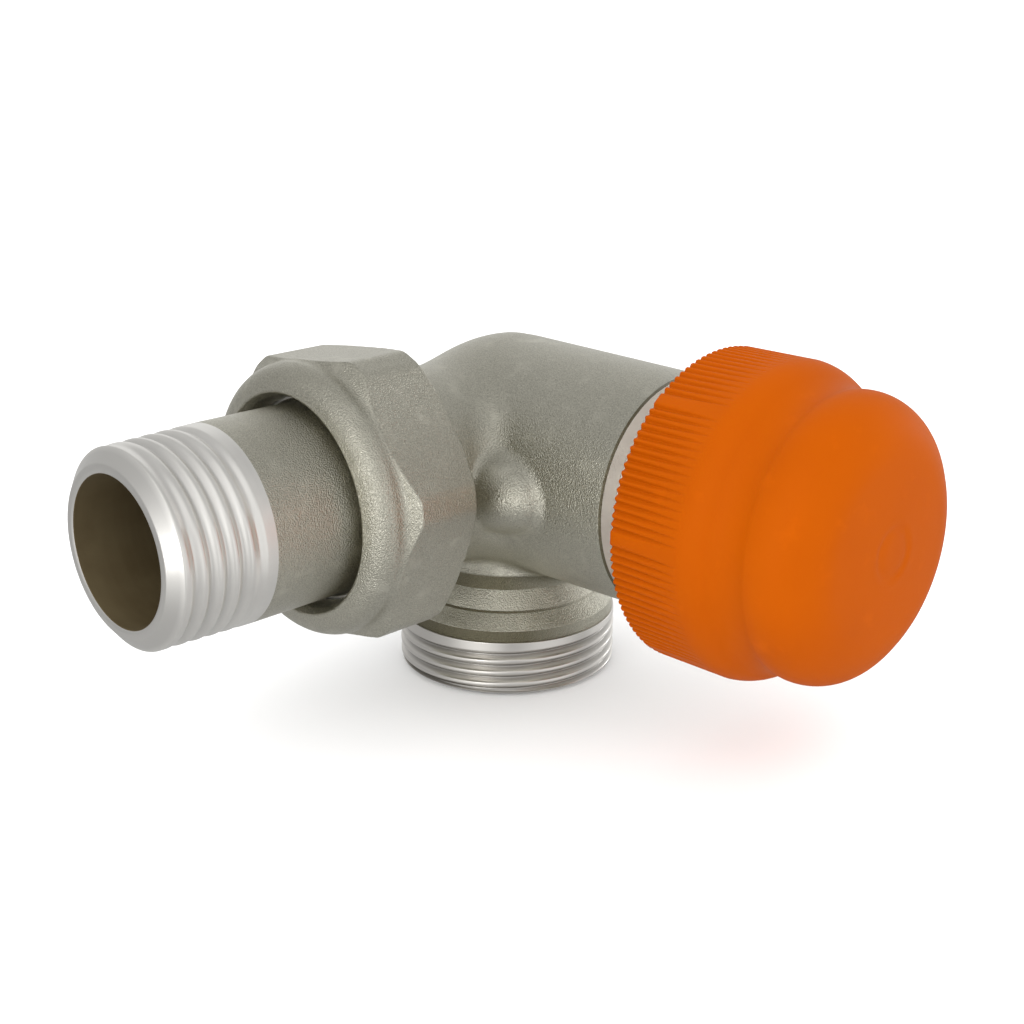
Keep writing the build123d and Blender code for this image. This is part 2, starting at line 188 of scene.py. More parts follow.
def turned_metal(name, dark, light, rough_low, rough_high, along, metallic=1.0, root_shade=None):
    """Metal with a fine turned finish around the axis along (X, Y or Z).

    root_shade = (axis height, root radius, crest radius, shade) in metres paints shade into the bottoms
    of a thread.
    """
    s = Shader(name)
    squeeze = [60.0, 60.0, 60.0]
    squeeze[along] = 1500.0
    lines = s.noise(1.0, 2.0, 0.5, s.stretched(*squeeze))
    patch = s.noise(220.0, 3.0, 0.5)
    fine = s.noise(2600.0, 2.0, 0.5)
    colour = s.blend(s.spread(s.add(patch, lines, 0.4), 0.0, 1.0, 0.5, 0.9), dark, light)
    if root_shade is not None:
        height, root, crest, shade = root_shade
        arm = s.vector_math("SUBTRACT", s.place, (0.0, 0.0, height))
        across = s.vector_math("MULTIPLY", arm, [0.0 if axis == along else 1.0 for axis in range(3)])
        deep = s.spread(s.vector_math("LENGTH", across, output="Value"), 1.0, 0.0, root, crest)
        # Painted shade: the colour darkens from the crest radius down to the root radius of the thread.
        colour = s.blend(deep, colour, tuple(c * shade for c in dark))
    s.bump(s.add(fine, lines, 0.5), 0.000003, 0.2)
    return s.surface(Base_Color=colour, Metallic=metallic,
                     Roughness=s.spread(s.add(patch, lines, 0.5), rough_low, rough_high, 0.5, 1.0))


def moulded(name, dark, light, rough_low, rough_high, grain, depth, specular=0.5, subsurface=0.0):
    """Plastic or rubber with a fine moulded grain."""
    s = Shader(name)
    patch = s.noise(70.0, 3.0, 0.5)
    fine = s.noise(grain, 2.0, 0.5)
    colour = s.blend(s.spread(patch, 0.0, 1.0), dark, light)
    rubbed = s.spread(s.noise(260.0, 4.0, 0.6), 0.0, 1.0, 0.60, 0.75)
    colour = s.blend(rubbed, colour, tuple(min(1.0, c * 1.04) for c in light))
    s.bump(s.add(fine, patch, 0.3), depth, 0.5)
    material = s.surface(Base_Color=colour, Metallic=0.0, Specular_IOR_Level=specular,
                         Roughness=s.spread(s.add(patch, fine, 0.6), rough_low, rough_high, 0.5, 1.1))
    if subsurface:
        s.surface(Subsurface_Weight=subsurface, Subsurface_Scale=0.0008)
        s.bsdf.inputs["Subsurface Radius"].default_value = (1.0, 0.3, 0.1)
    return material


# Below this height the body's nickel has painted shade on its -Y side.
PAINTED_SHADE_HEIGHT = 0.0143      # metres; the neck's straight foot ends about here
# A shade height above the whole part: the whole material gets the painted shade.
EVERYWHERE = 1.0            # a recess height above the whole part

NICKEL = blasted_metal("blasted_nickel", (0.46, 0.444, 0.37), (0.635, 0.615, 0.52), 0.29, 0.38)
# The body's nickel, with painted shade on the -Y side low on the neck.
BODY_NICKEL = blasted_metal("blasted_body", (0.45, 0.435, 0.363), (0.625, 0.605, 0.51), 0.29, 0.38,
                            shade_height=PAINTED_SHADE_HEIGHT)
# Nickel with painted shade over its whole -Y side, for the dark band and step above the lower thread and
# the chamfer at the chamber's end.
PAINTED_SHADE_NICKEL = blasted_metal("blasted_painted_shade", (0.46, 0.444, 0.37), (0.635, 0.615, 0.52), 0.36, 0.48,
                       shade_height=EVERYWHERE)
# The last argument of both machined threads paints shade into their roots.
MACHINED_TAIL = turned_metal("machined_tail", (0.76, 0.745, 0.71), (0.83, 0.815, 0.775),
                             0.32, 0.40, Y, 0.92, (AXIS_HEIGHT * MM, 0.0099, 0.0104, 0.86))
MACHINED_LOWER = turned_metal("machined_lower", (0.68, 0.655, 0.615), (0.76, 0.735, 0.69),
                              0.28, 0.36, Z, 1.0, (0.0, 0.01262, 0.01308, 0.60))
MACHINED_INSERT = turned_metal("machined_insert", (0.67, 0.645, 0.595), (0.75, 0.725, 0.67),
                               0.40, 0.50, X, 0.45)
BORE = turned_metal("bore_wall", (0.092, 0.066, 0.030), (0.115, 0.087, 0.042), 0.55, 0.70, Y, 0.3)
SOCKET = turned_metal("socket_wall", (0.42, 0.37, 0.27), (0.55, 0.48, 0.35), 0.34, 0.48, Z)
BRASS = turned_metal("turned_brass", (0.62, 0.44, 0.20), (0.76, 0.56, 0.28), 0.26, 0.40, X)
STAINLESS = turned_metal("drawn_stainless", (0.58, 0.58, 0.58), (0.70, 0.70, 0.70), 0.18, 0.30, X)
SPRING_STEEL = turned_metal("spring_wire", (0.42, 0.42, 0.43), (0.55, 0.55, 0.56), 0.24, 0.38, Z)
RUBBER = moulded("seal_rubber", (0.012, 0.012, 0.012), (0.025, 0.025, 0.025), 0.45, 0.6, 2600.0, 0.00002)
PLASTIC = moulded("orange_plastic", (0.362, 0.063, 0.0), (0.392, 0.070, 0.0001), 0.44, 0.56,
                  4200.0, 0.00001, 0.03, 0.05)

NODE_LOOKS = {
    "insert_housing": MACHINED_INSERT, "guide_bush": BRASS, "gland_nut": BRASS, "spindle_collar": BRASS,
    "disc_carrier": BRASS, "disc_washer": BRASS, "disc_nut": BRASS,
    "bush_circlip": STAINLESS, "gland_pin": STAINLESS, "main_spindle": STAINLESS,
    "collar_clip": STAINLESS, "return_spring": SPRING_STEEL,
    "insert_o_ring": RUBBER, "gland_o_ring": RUBBER, "gland_outer_o_ring": RUBBER,
    "union_o_ring": RUBBER, "valve_disc": RUBBER,
}
for node_name, look in NODE_LOOKS.items():
    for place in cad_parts[node_name].material_slots:
        place.material = look

# ---- mesh helpers -----------------------------------------------------------------------------

INSERT, TAIL, LOWER = "insert", "tail", "lower"
THREADED = 10               # added to the look of a row whose radius is shaped by a thread or ribs


def on_line(line, along, radius, angle):
    """Frame coordinates of points given by distance along an axis, radius and angle about it."""
    first, second = radius * np.cos(angle), radius * np.sin(angle)
    if line == INSERT:
        return np.stack([along, first, second + AXIS_HEIGHT], -1)
    if line == TAIL:
        return np.stack([first, -along, second + AXIS_HEIGHT], -1)
    return np.stack([first, second, along], -1)


def make_object(name, verts, faces, materials, indices, body, nodes=()):
    """Mesh object in the frame from millimetre points, riding on a body."""
    mesh = bpy.data.meshes.new(name)
    mesh.from_pydata((np.asarray(verts) * MM).tolist(), [], faces)
    for material in materials:
        mesh.materials.append(material)
    mesh.polygons.foreach_set("material_index", np.asarray(indices, dtype=np.int32))
    mesh.polygons.foreach_set("use_smooth", [True] * len(mesh.polygons))
    mesh.validate()
    mesh.update()
    made = placed(name, mesh)
    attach(made, body)
    if nodes:
        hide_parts(*nodes)
    return made


def face_outwards(made, crease):
    """Turn every face of a closed mesh outwards and mark the edges that bend more than the crease.

    The spare points of a row on the axis are dropped first.
    """
    work = bmesh.new()
    work.from_mesh(made.data)
    bmesh.ops.delete(work, geom=[v for v in work.verts if not v.link_faces], context="VERTS")
    bmesh.ops.remove_doubles(work, verts=work.verts, dist=1e-7)
    bmesh.ops.recalc_face_normals(work, faces=work.faces)
    for face in work.faces:
        face.smooth = True
    for edge in work.edges:
        edge.smooth = len(edge.link_faces) != 2 or edge.calc_face_angle() < crease
    work.to_mesh(made.data)
    work.free()


def weigh_normals(made):
    """Let the larger faces decide the shading, so that rounded corners stay narrow."""
    modifier = made.modifiers.new("normals", "WEIGHTED_NORMAL")
    modifier.keep_sharp = True
    modifier.weight = 80


def softened(points, steps=4):
    """Closed outline with rounded corners: points are (along, radius, look, rounding)."""
    out = []
    count = len(points)
    for i, (s, r, look, rounding) in enumerate(points):
        here = np.array([s, r])
        before = np.array(points[i - 1][:2])
        after = np.array(points[(i + 1) % count][:2])
        if rounding <= 0:
            out.append((s, r, look))
            continue
        to_before, to_after = before - here, after - here
        reach = min(rounding, 0.45 * np.linalg.norm(to_before), 0.45 * np.linalg.norm(to_after))
        start = here + to_before / np.linalg.norm(to_before) * reach
        end = here + to_after / np.linalg.norm(to_after) * reach
        for k in range(steps + 1):
            t = k / steps
            point = (1 - t) ** 2 * start + 2 * t * (1 - t) * here + t * t * end
            out.append((point[0], point[1], look if k else points[i - 1][2]))
    return out


def subdivided(rows, step, start, end):
    """The outline with extra rows every step between two distances, on threaded walls only."""
    out = []
    count = len(rows)
    for i, (s, r, look) in enumerate(rows):
        out.append((s, r, look))
        s2, r2, _ = rows[(i + 1) % count]
        between = min(s, s2) >= start - 1e-6 and max(s, s2) <= end + 1e-6
        if look >= THREADED and between and abs(s2 - s) > step:
            parts = int(math.ceil(abs(s2 - s) / step))
            for k in range(1, parts):
                out.append((s + (s2 - s) * k / parts, r + (r2 - r) * k / parts, look))
    return out


def lathe(name, line, rows, angles, materials, body, nodes=(), shape=None, crease=0.5):
    """Closed turned mesh. rows are (along, radius, look); shape(along, radius, angle) bends radii."""
    count, around = len(rows), len(angles)
    along = np.array([row[0] for row in rows])[:, None] * np.ones(around)
    radius = np.array([row[1] for row in rows])[:, None] * np.ones(around)
    angle = np.ones(count)[:, None] * np.asarray(angles)
    if shape is not None:
        radius = shape(along, radius, angle, np.array([row[2] for row in rows])[:, None])
    verts = on_line(line, along, radius, angle).reshape(-1, 3)
    first = np.arange(count)[:, None] * around + np.arange(around)
    second = np.roll(first, -1, axis=0)
    faces = np.stack([first, np.roll(first, -1, axis=1), np.roll(second, -1, axis=1), second], -1)
    poles = np.array([row[1] < 1e-6 for row in rows])
    made_faces, indices = [], []
    for i in range(count):
        j = (i + 1) % count
        if poles[i] and poles[j]:
            continue
        look = rows[i][2] % THREADED
        for quad in faces[i].tolist():
            if poles[i]:
                made_faces.append((first[i, 0].item(), quad[2], quad[3]))
            elif poles[j]:
                made_faces.append((quad[0], quad[1], first[j, 0].item()))
            else:
                made_faces.append(tuple(quad))
            indices.append(look)
    made = make_object(name, verts, made_faces, materials, indices, body, nodes)
    face_outwards(made, crease)
    weigh_normals(made)
    return made


def even_angles(count):
    return np.arange(count) * 2 * math.pi / count


# ---- distance fields --------------------------------------------------------------------------


def soft_min(a, b, k):
    h = np.maximum(k - np.abs(a - b), 0.0) / k
    return np.minimum(a, b) - h * h * k / 4


def soft_max(a, b, k):
    return -soft_min(-a, -b, k)


def outline_field(along, radius, outline):
    """Signed distance to a closed outline of (along, radius) points."""
    best = np.full(along.shape, 1e9)
    sign = np.ones(along.shape)
    count = len(outline)
    for i in range(count):
        ax, ay = outline[i]
        bx, by = outline[(i + 1) % count]
        ex, ey = bx - ax, by - ay
        wx, wy = along - ax, radius - ay
        t = np.clip((wx * ex + wy * ey) / (ex * ex + ey * ey), 0, 1)
        dx, dy = wx - ex * t, wy - ey * t
        best = np.minimum(best, dx * dx + dy * dy)
        one = radius >= ay
        two = radius < by
        three = ex * wy > ey * wx
        flip = (one & two & three) | (~one & ~two & ~three)
        sign = np.where(flip, -sign, sign)
    return sign * np.sqrt(best)


def round_cone(p, foot, top, foot_radius, top_radius):
    """Distance to the hull of two balls."""
    ba = top - foot
    l2 = ba @ ba
    rr = foot_radius - top_radius
    a2 = l2 - rr * rr
    il2 = 1.0 / l2
    pa = p - foot
    y = pa @ ba
    z = y - l2
    x2 = ((pa * l2 - y[:, None] * ba) ** 2).sum(1)
    y2 = y * y * l2
    z2 = z * z * l2
    k = np.sign(rr) * rr * rr * x2
    far = np.sqrt(x2 + z2) * il2 - top_radius
    near = np.sqrt(x2 + y2) * il2 - foot_radius
    side = (np.sqrt(x2 * a2 * il2) + y * rr) * il2 - foot_radius
    out = np.where(np.sign(z) * a2 * z2 > k, far, side)
    return np.where(np.sign(y) * a2 * y2 < k, near, out)


def ball_field(p, centre, reach):
    """Near distance to a stretched ball."""
    scaled = (p - centre) / reach
    size = np.sqrt((scaled ** 2).sum(1))
    slope = np.sqrt(((scaled / reach) ** 2).sum(1))
    return size * (size - 1.0) / np.maximum(slope, 1e-6)


def net_mesh(field, low, high, step):
    """Quads on the zero level of a distance field, each point moved onto the level."""
    low = np.array(low, dtype=float)
    shape = np.ceil((np.array(high) - low) / step).astype(int) + 1
    axes = [low[a] + step * np.arange(shape[a]) for a in range(3)]
    values = np.empty(shape)
    for i, x in enumerate(axes[0]):
        y, z = np.meshgrid(axes[1], axes[2], indexing="ij")
        p = np.stack([np.full(y.size, x), y.ravel(), z.ravel()], 1)
        values[i] = field(p).reshape(y.shape)
    inside = values < 0
    corners = [(i, j, k) for i in (0, 1) for j in (0, 1) for k in (0, 1)]
    nx, ny, nz = shape
    count = sum(inside[i:nx - 1 + i, j:ny - 1 + j, k:nz - 1 + k].astype(np.int8) for i, j, k in corners)
    mixed = (count > 0) & (count < 8)
    cells = np.argwhere(mixed)
    number = np.full(mixed.shape, -1)
    number[mixed] = np.arange(len(cells))
    total = np.zeros((len(cells), 3))
    hits = np.zeros(len(cells))
    for a in range(3):
        for c0 in corners:
            if c0[a]:
                continue
            c1 = list(c0)
            c1[a] = 1
            v0 = values[tuple((cells + c0).T)]
            v1 = values[tuple((cells + c1).T)]
            cross = (v0 < 0) != (v1 < 0)
            t = np.where(cross, v0 / np.where(cross, v0 - v1, 1.0), 0.0)
            point = np.array(c0, dtype=float) + t[:, None] * (np.array(c1) - np.array(c0))
            total += point * cross[:, None]
            hits += cross
    verts = low + step * (cells + total / hits[:, None])
    faces = []
    for a in range(3):
        b, c = (a + 1) % 3, (a + 2) % 3
        lead = [slice(None)] * 3
        follow = [slice(None)] * 3
        lead[a], follow[a] = slice(0, -1), slice(1, None)
        crossing = inside[tuple(lead)] != inside[tuple(follow)]
        spots = np.argwhere(crossing)
        keep = (spots[:, b] > 0) & (spots[:, c] > 0)
        keep &= (spots[:, b] < shape[b] - 1) & (spots[:, c] < shape[c] - 1)
        spots = spots[keep]
        eb, ec = np.eye(3, dtype=int)[b], np.eye(3, dtype=int)[c]
        quad = np.stack([number[tuple((spots - o).T)] for o in (eb + ec, ec, 0 * eb, eb)], 1)
        starts_inside = inside[tuple(spots.T)]
        quad = np.where(starts_inside[:, None], quad, quad[:, ::-1])
        faces.append(quad)
    faces = np.concatenate(faces)
    nudge = 0.02
    for _ in range(3):
        slope = np.stack([(field(verts + nudge * e) - field(verts - nudge * e)) / (2 * nudge)
                          for e in np.eye(3)], 1)
        size = np.maximum((slope ** 2).sum(1), 0.2)
        shift = np.clip(field(verts) / size, -step, step)
        verts = verts - slope * shift[:, None]
    return verts, faces.tolist()


def field_normals(made, field, verts, nudge=0.04):
    """Shade a cast mesh with the slope of its distance field."""
    slope = np.stack([field(verts + nudge * e) - field(verts - nudge * e) for e in np.eye(3)], 1)
    slope /= np.maximum(np.linalg.norm(slope, axis=1, keepdims=True), 1e-9)
    made.data.normals_split_custom_set_from_vertices(slope.tolist())


def snap(verts, axis, value, reach):
    """Move points that lie within reach of a flat cut onto it."""
    near = np.abs(verts[:, axis] - value) < reach
    verts[near, axis] = value


# ---- valve body casting -----------------------------------------------------------------------

CHAMBER_FACE_X = 26.9
CHAMBER_EDGE_X = CHAMBER_FACE_X - 0.3
CHAMBER_FRONT_RADIUS = 13.05
CHAMBER_BACK_RADIUS = 13.5
DOME_X = 1.2
BRANCH_RADIUS = 11.45
BRANCH_CUT = 19.0
NECK_RADIUS = 10.45
NECK_FOOT_Z = 11.9
CHAMBER_MOUTH = 10.4
LOWER_BORE = 7.0
UNION_BORE, UNION_SOCKET, UNION_SEAT = 7.6, 9.0, 21.6
BRANCH_BLEND, BULGE_BLEND, NECK_BLEND, EDGE_BLEND = 3.0, 0.9, 2.2, 0.2
CAST_BOX = (-13.5, -20.0, 11.1), (27.6, 14.6, 41.6)     # holds the whole casting
BULGE_CENTRE = np.array([11.0, -11.5, AXIS_HEIGHT - 0.3])
BULGE_REACH = np.array([7.9, 5.3, 4.7])

# (along, radius) outlines, each about its own axis; the passages are (foot, top, radius)
NECK_OUTLINE = [(NECK_FOOT_Z - 2, 0), (NECK_FOOT_Z - 2, NECK_RADIUS), (14.45, NECK_RADIUS),
                (18.0, 8.9), (AXIS_HEIGHT, 8.9), (AXIS_HEIGHT, 0)]
INSERT_HOLLOW = [(-8.6, 0), (-8.6, 5.0), (-6.1, 7.5), (0.6, 7.5), (0.6, 5.3), (3.4, 5.3),
                 (3.4, 6.2), (2.5, 6.7), (2.5, 9.4), (16.5, 9.4), (16.5, CHAMBER_MOUTH),
                 (30.0, CHAMBER_MOUTH), (30.0, 0)]
TAIL_HOLLOW = [(15.0, 0), (15.0, 5.5), (17.0, UNION_BORE), (UNION_SEAT, UNION_BORE),
               (UNION_SEAT, UNION_SOCKET), (30.0, UNION_SOCKET), (30.0, 0)]
LOWER_HOLLOW = [(9.0, 0), (9.0, LOWER_BORE), (12.0, LOWER_BORE), (12.7, 5.5), (12.7, 0)]
PASSAGE = (np.array([2.5, -2.5, 11.4]), np.array([7.4, -1.8, 20.5]), 3.9)
BACK_PASSAGE = (np.array([-1.2, -17.0, AXIS_HEIGHT]), np.array([-7.0, -5.0, AXIS_HEIGHT]), 4.2)


def casting_field(p):
    x, y, z = p[:, 0], p[:, 1], p[:, 2] - AXIS_HEIGHT
    around_insert = np.hypot(y, z)
    taper = np.clip((x - DOME_X) / (CHAMBER_EDGE_X - DOME_X), 0, 1)
    wall = CHAMBER_BACK_RADIUS + (CHAMBER_FRONT_RADIUS - CHAMBER_BACK_RADIUS) * taper
    dome = np.sqrt(np.minimum(x - DOME_X, 0) ** 2 + around_insert ** 2)
    chamber = dome - wall
    branch = np.maximum(np.hypot(x, z) - BRANCH_RADIUS, y)
    neck = outline_field(p[:, 2], np.hypot(x, y), NECK_OUTLINE)
    bulge = ball_field(p, BULGE_CENTRE, BULGE_REACH)
    body = soft_min(chamber, branch, BRANCH_BLEND)
    body = soft_min(body, bulge, BULGE_BLEND)
    body = soft_min(body, neck, NECK_BLEND)
    hollow = outline_field(x, around_insert, INSERT_HOLLOW)
    hollow = np.minimum(hollow, outline_field(-y, np.hypot(x, z), TAIL_HOLLOW))
    hollow = np.minimum(hollow, outline_field(p[:, 2], np.hypot(x, y), LOWER_HOLLOW))
    for foot, top, radius in (PASSAGE, BACK_PASSAGE):
        hollow = np.minimum(hollow, round_cone(p, foot, top, radius, radius - 0.001))
    body = soft_max(body, -hollow, EDGE_BLEND)
    body = np.maximum(body, x - CHAMBER_EDGE_X)
    body = np.maximum(body, -y - BRANCH_CUT)
    return np.maximum(body, NECK_FOOT_Z - p[:, 2])


cast_step = 0.3
verts, faces = net_mesh(casting_field, *CAST_BOX, cast_step)
for axis, cut in ((X, CHAMBER_EDGE_X), (Y, -BRANCH_CUT), (Z, NECK_FOOT_Z)):
    snap(verts, axis, cut, 0.1)
casting = make_object("valve_casting", verts, faces, [BODY_NICKEL], [0] * len(faces), "valve",
                      ["valve_body"])
field_normals(casting, casting_field, verts)

# ---- machined ends of the casting -------------------------------------------------------------

PIPE_RADIUS = 13.22         # crests of the two G 3/4 threads
PIPE_PITCH = 1.814          # union and tail threads
LOWER_PITCH = 1.45          # as the photo shows it
LOWER_SOCKET = 9.15
LOWER_THREAD_TOP = 7.0
UNION_FACE = 26.7

# The angle about an axis that faces the camera: a helix passes it at its first distance.
CAMERA_SIDE = {TAIL: math.radians(25.5), LOWER: math.radians(-44.8)}


def helix(line, first, pitch, depth, half_width, turns, fade):
    """Shape that cuts one right-handed groove, with soft ends, into the threaded rows of a lathe.

    turns is the groove's length and fade the length of its soft ends, both in turns.
    """
    def shape(along, radius, angle, look):
        turn = (angle - CAMERA_SIDE[line] + math.pi) % (2 * math.pi) - math.pi
        place = (along - first) / pitch - turn / (2 * math.pi)
        number = np.round(place)
        reach = np.clip(1 - np.abs(place - number) * pitch / half_width, 0, 1)
        wound = number + turn / (2 * math.pi) + 0.5
        ramp = np.clip(wound / fade, 0, 1) * np.clip((turns - wound) / fade, 0, 1)
        cut = depth * reach * reach * (3 - 2 * reach) * ramp * ramp * (3 - 2 * ramp)
        return np.where(look >= THREADED, radius - cut, radius)
    return shape


# Look 3 is the nickel with painted shade: the plain band above the thread and the small step on the
# neck.
lower_rows = softened([
    (12.9, 7.6, 2, 0), (11.6, LOWER_BORE, 2, 0.1), (9.2, LOWER_BORE, 2, 0.1),
    (9.2, LOWER_SOCKET, 2, 0.15), (3.2, LOWER_SOCKET, 2, 0.3), (0.0, 10.0, 1, 0.2),
    (0.0, 12.15, 1, 0.15), (0.75, PIPE_RADIUS, THREADED + 1, 0.2),
    (LOWER_THREAD_TOP, PIPE_RADIUS, 1, 0.08), (LOWER_THREAD_TOP, 13.0, 3, 0.0),
    (8.4, 13.0, 0, 0.04), (10.15, 11.65, 3, 0.1), (10.42, 11.5, 0, 0.1), (12.9, 10.3, 0, 0.0),
])
lathe("lower_connection_end", LOWER, subdivided(lower_rows, 0.06, 0.7, 7.1), even_angles(192),
      [NICKEL, MACHINED_LOWER, SOCKET, PAINTED_SHADE_NICKEL], "valve",
      shape=helix(LOWER, 1.0, LOWER_PITCH, 0.6, 0.62, 4, 0.25))

# Look 1, the chamfer between the face and the edge, is the nickel with painted shade.
face_rows = softened([
    (CHAMBER_EDGE_X - 0.6, CHAMBER_MOUTH, 0, 0), (CHAMBER_FACE_X - 0.5, CHAMBER_MOUTH, 0, 0.1),
    (CHAMBER_FACE_X, 10.82, 0, 0.03), (CHAMBER_FACE_X, 12.88, 1, 0.03),
    (CHAMBER_EDGE_X + 0.04, 13.055, 2, 0.02), (CHAMBER_EDGE_X - 0.45, 13.075, 2, 0.0),
    (CHAMBER_EDGE_X - 0.6, 12.8, 2, 0),
])
lathe("chamber_end_face", INSERT, face_rows, even_angles(160), [MACHINED_INSERT, PAINTED_SHADE_NICKEL, BODY_NICKEL],
      "valve")

union_rows = softened([
    (17.9, 7.9, 0, 0), (18.4, UNION_BORE, 0, 0), (UNION_SEAT, UNION_BORE, 0, 0.1),
    (UNION_SEAT, UNION_SOCKET, 0, 0.1), (26.3, UNION_SOCKET, 0, 0.1), (UNION_FACE, 9.4, 0, 0.1),
    (UNION_FACE, 12.3, 0, 0.15), (25.8, PIPE_RADIUS, THREADED, 0.2),
    (20.3, PIPE_RADIUS, 1, 0.2), (17.9, 10.58, 1, 0),
])
lathe("union_thread_end", TAIL, subdivided(union_rows, 0.07, 20.2, 26.0), even_angles(160),
      [MACHINED_TAIL, NICKEL], "valve",
      shape=helix(TAIL, 21.4, PIPE_PITCH, 0.9, 0.8, 3, 0.2))

# ---- union nut --------------------------------------------------------------------------------

NUT_BACK, NUT_FRONT, NUT_HEX_FRONT = 19.9, 32.47, 29.2
NUT_PHASE = math.radians(6.4)
NUT_APOTHEM = 15.0          # half of the 30 mm across flats
NUT_CORNER = 16.6
NUT_REACH = 18.2
NUT_BOX = ((-NUT_REACH, -33.2, AXIS_HEIGHT - NUT_REACH),
           (NUT_REACH, -19.2, AXIS_HEIGHT + NUT_REACH))     # holds the whole nut
COLLAR_CENTRE = (29.9, 12.55)
COLLAR_ROUND = 2.45
NUT_BODY = [(NUT_BACK, 0), (NUT_BACK, 15.2), (NUT_BACK + 1.3, 17.6), (NUT_HEX_FRONT - 1.7, 17.6),
            (NUT_HEX_FRONT, 14.9), (NUT_HEX_FRONT, 0)]
NUT_HOLLOW = [(NUT_BACK - 1, 0), (NUT_BACK - 1, 13.87), (NUT_BACK, 13.87), (NUT_BACK + 0.8, 13.27),
              (NUT_BACK + 7.6, 13.27), (NUT_BACK + 7.6, 13.57), (29.5, 13.57), (29.5, 11.2),
              (31.6, 11.6), (NUT_FRONT + 1, 12.6), (NUT_FRONT + 1, 0)]
NUT_COLLAR = [(28.5, 0), (28.5, 14.4), (30.2, 14.6), (32.0, 13.0), (NUT_FRONT, 12.2), (NUT_FRONT, 0)]


def hexagon_field(u, v, apothem, rounding):
    inner = apothem - rounding
    angle = np.arctan2(v, u) - NUT_PHASE
    size = np.hypot(u, v)
    sector = angle % (math.pi / 3) - math.pi / 6
    along, across = size * np.cos(sector), size * np.sin(sector)
    half = inner * math.tan(math.pi / 6)
    over = np.maximum(np.abs(across) - half, 0)
    flat = along - inner
    corner = np.abs(across) * math.sin(math.pi / 6) + along * math.cos(math.pi / 6)
    best = np.where(flat > 0, np.hypot(np.maximum(flat, 0), over), flat) - rounding
    return soft_max(best, corner - NUT_CORNER, 0.35)


def nut_field(p):
    along = -p[:, 1]
    u, v = p[:, 0], p[:, 2] - AXIS_HEIGHT
    radius = np.hypot(u, v)
    body = hexagon_field(u, v, NUT_APOTHEM, 0.25)
    body = soft_max(body, outline_field(along, radius, NUT_BODY), 0.12)
    collar = np.hypot(along - COLLAR_CENTRE[0], radius - COLLAR_CENTRE[1]) - COLLAR_ROUND
    collar = np.maximum(collar, 29.0 - along)
    collar = soft_min(collar, outline_field(along, radius, NUT_COLLAR), 0.6)
    body = soft_min(body, collar, 0.7)
    hollow = outline_field(along, radius, NUT_HOLLOW)
    return soft_max(body, -hollow, 0.15)


nut_step = 0.2
verts, faces = net_mesh(nut_field, *NUT_BOX, nut_step)
nut = make_object("union_nut_casting", verts, faces, [NICKEL], [0] * len(faces), "nut",
                  ["union_nut"])
field_normals(nut, nut_field, verts)

# ---- tailpiece --------------------------------------------------------------------------------

TAIL_END = 53.65
THREAD_START = 41.9
LAST_GROOVE = TAIL_END - 2.4
SPIGOT_RADIUS, SEAL_GROOVE, FLANGE_RADIUS = 8.95, 7.75, 11.9

tail_rows = softened([
    (22.0, 7.2, 2, 0.1), (22.0, 8.55, 0, 0.1), (22.4, SPIGOT_RADIUS, 0, 0.1),
    (23.4, SPIGOT_RADIUS, 0, 0.05), (23.4, SEAL_GROOVE, 0, 0.05), (25.0, SEAL_GROOVE, 0, 0.05),
    (25.0, SPIGOT_RADIUS, 0, 0.05), (27.0, SPIGOT_RADIUS, 0, 0.1), (27.0, 11.6, 0, 0.1),
    (27.3, FLANGE_RADIUS, 0, 0.1), (29.2, FLANGE_RADIUS, 0, 0.1), (29.2, 10.95, 1, 0.1),
    (29.5, 10.66, 1, 0.2), (THREAD_START, 10.68, THREADED, 0.03), (TAIL_END - 1.25, 10.43, 0, 0.15),
    (TAIL_END - 0.02, 8.9, 0, 0.12), (TAIL_END + 0.02, 8.25, 0, 0.12), (TAIL_END - 0.12, 7.9, 2, 0.08),
    (32.0, 7.85, 2, 0.3), (30.5, 6.6, 2, 0.2), (24.0, 6.6, 2, 0.1),
])
lathe("tailpiece_turned", TAIL, subdivided(tail_rows, 0.07, 41.8, TAIL_END - 1.2), even_angles(200),
      [MACHINED_TAIL, NICKEL, BORE], "tail", ["tailpiece"],
      helix(TAIL, LAST_GROOVE - 4 * PIPE_PITCH, PIPE_PITCH, 0.5, 0.82, 5, 0.9))

# ---- protective cap ---------------------------------------------------------------------------

CAP_RIM = 31.65
RIB_END = 40.5
CAP_RADIUS = 17.0
CAP_FRONT = 53.6
CAP_SKIRT_INSIDE = 15.05
CAP_INSIDE = 13.0
RIB_DEPTH = 0.34
RIB_SLOPE = RIB_DEPTH / 0.29            # depth over half width
RIB_ROOT = 0.06                         # rounding at the bottom of a groove
RIB_FADE = 2.2                          # a higher value keeps the grooves deep for longer
RIB_GROUPS, RIBS_IN_GROUP, RIB_SPACING = 7, 16, math.radians(2.97)
RIB_PHASE = math.radians(63.0)

# (middle, end, points) of the arcs that follow the ribbed band: shoulder, waist, dome, front edge
CAP_ARCS = [((41.6, 16.6), (42.9, 15.75), 12), ((44.7, 14.93), (46.7, 15.08), 16),
            ((49.6, 14.65), (51.8, 12.7), 20), ((52.8, 10.9), (53.2, 9.0), 8)]


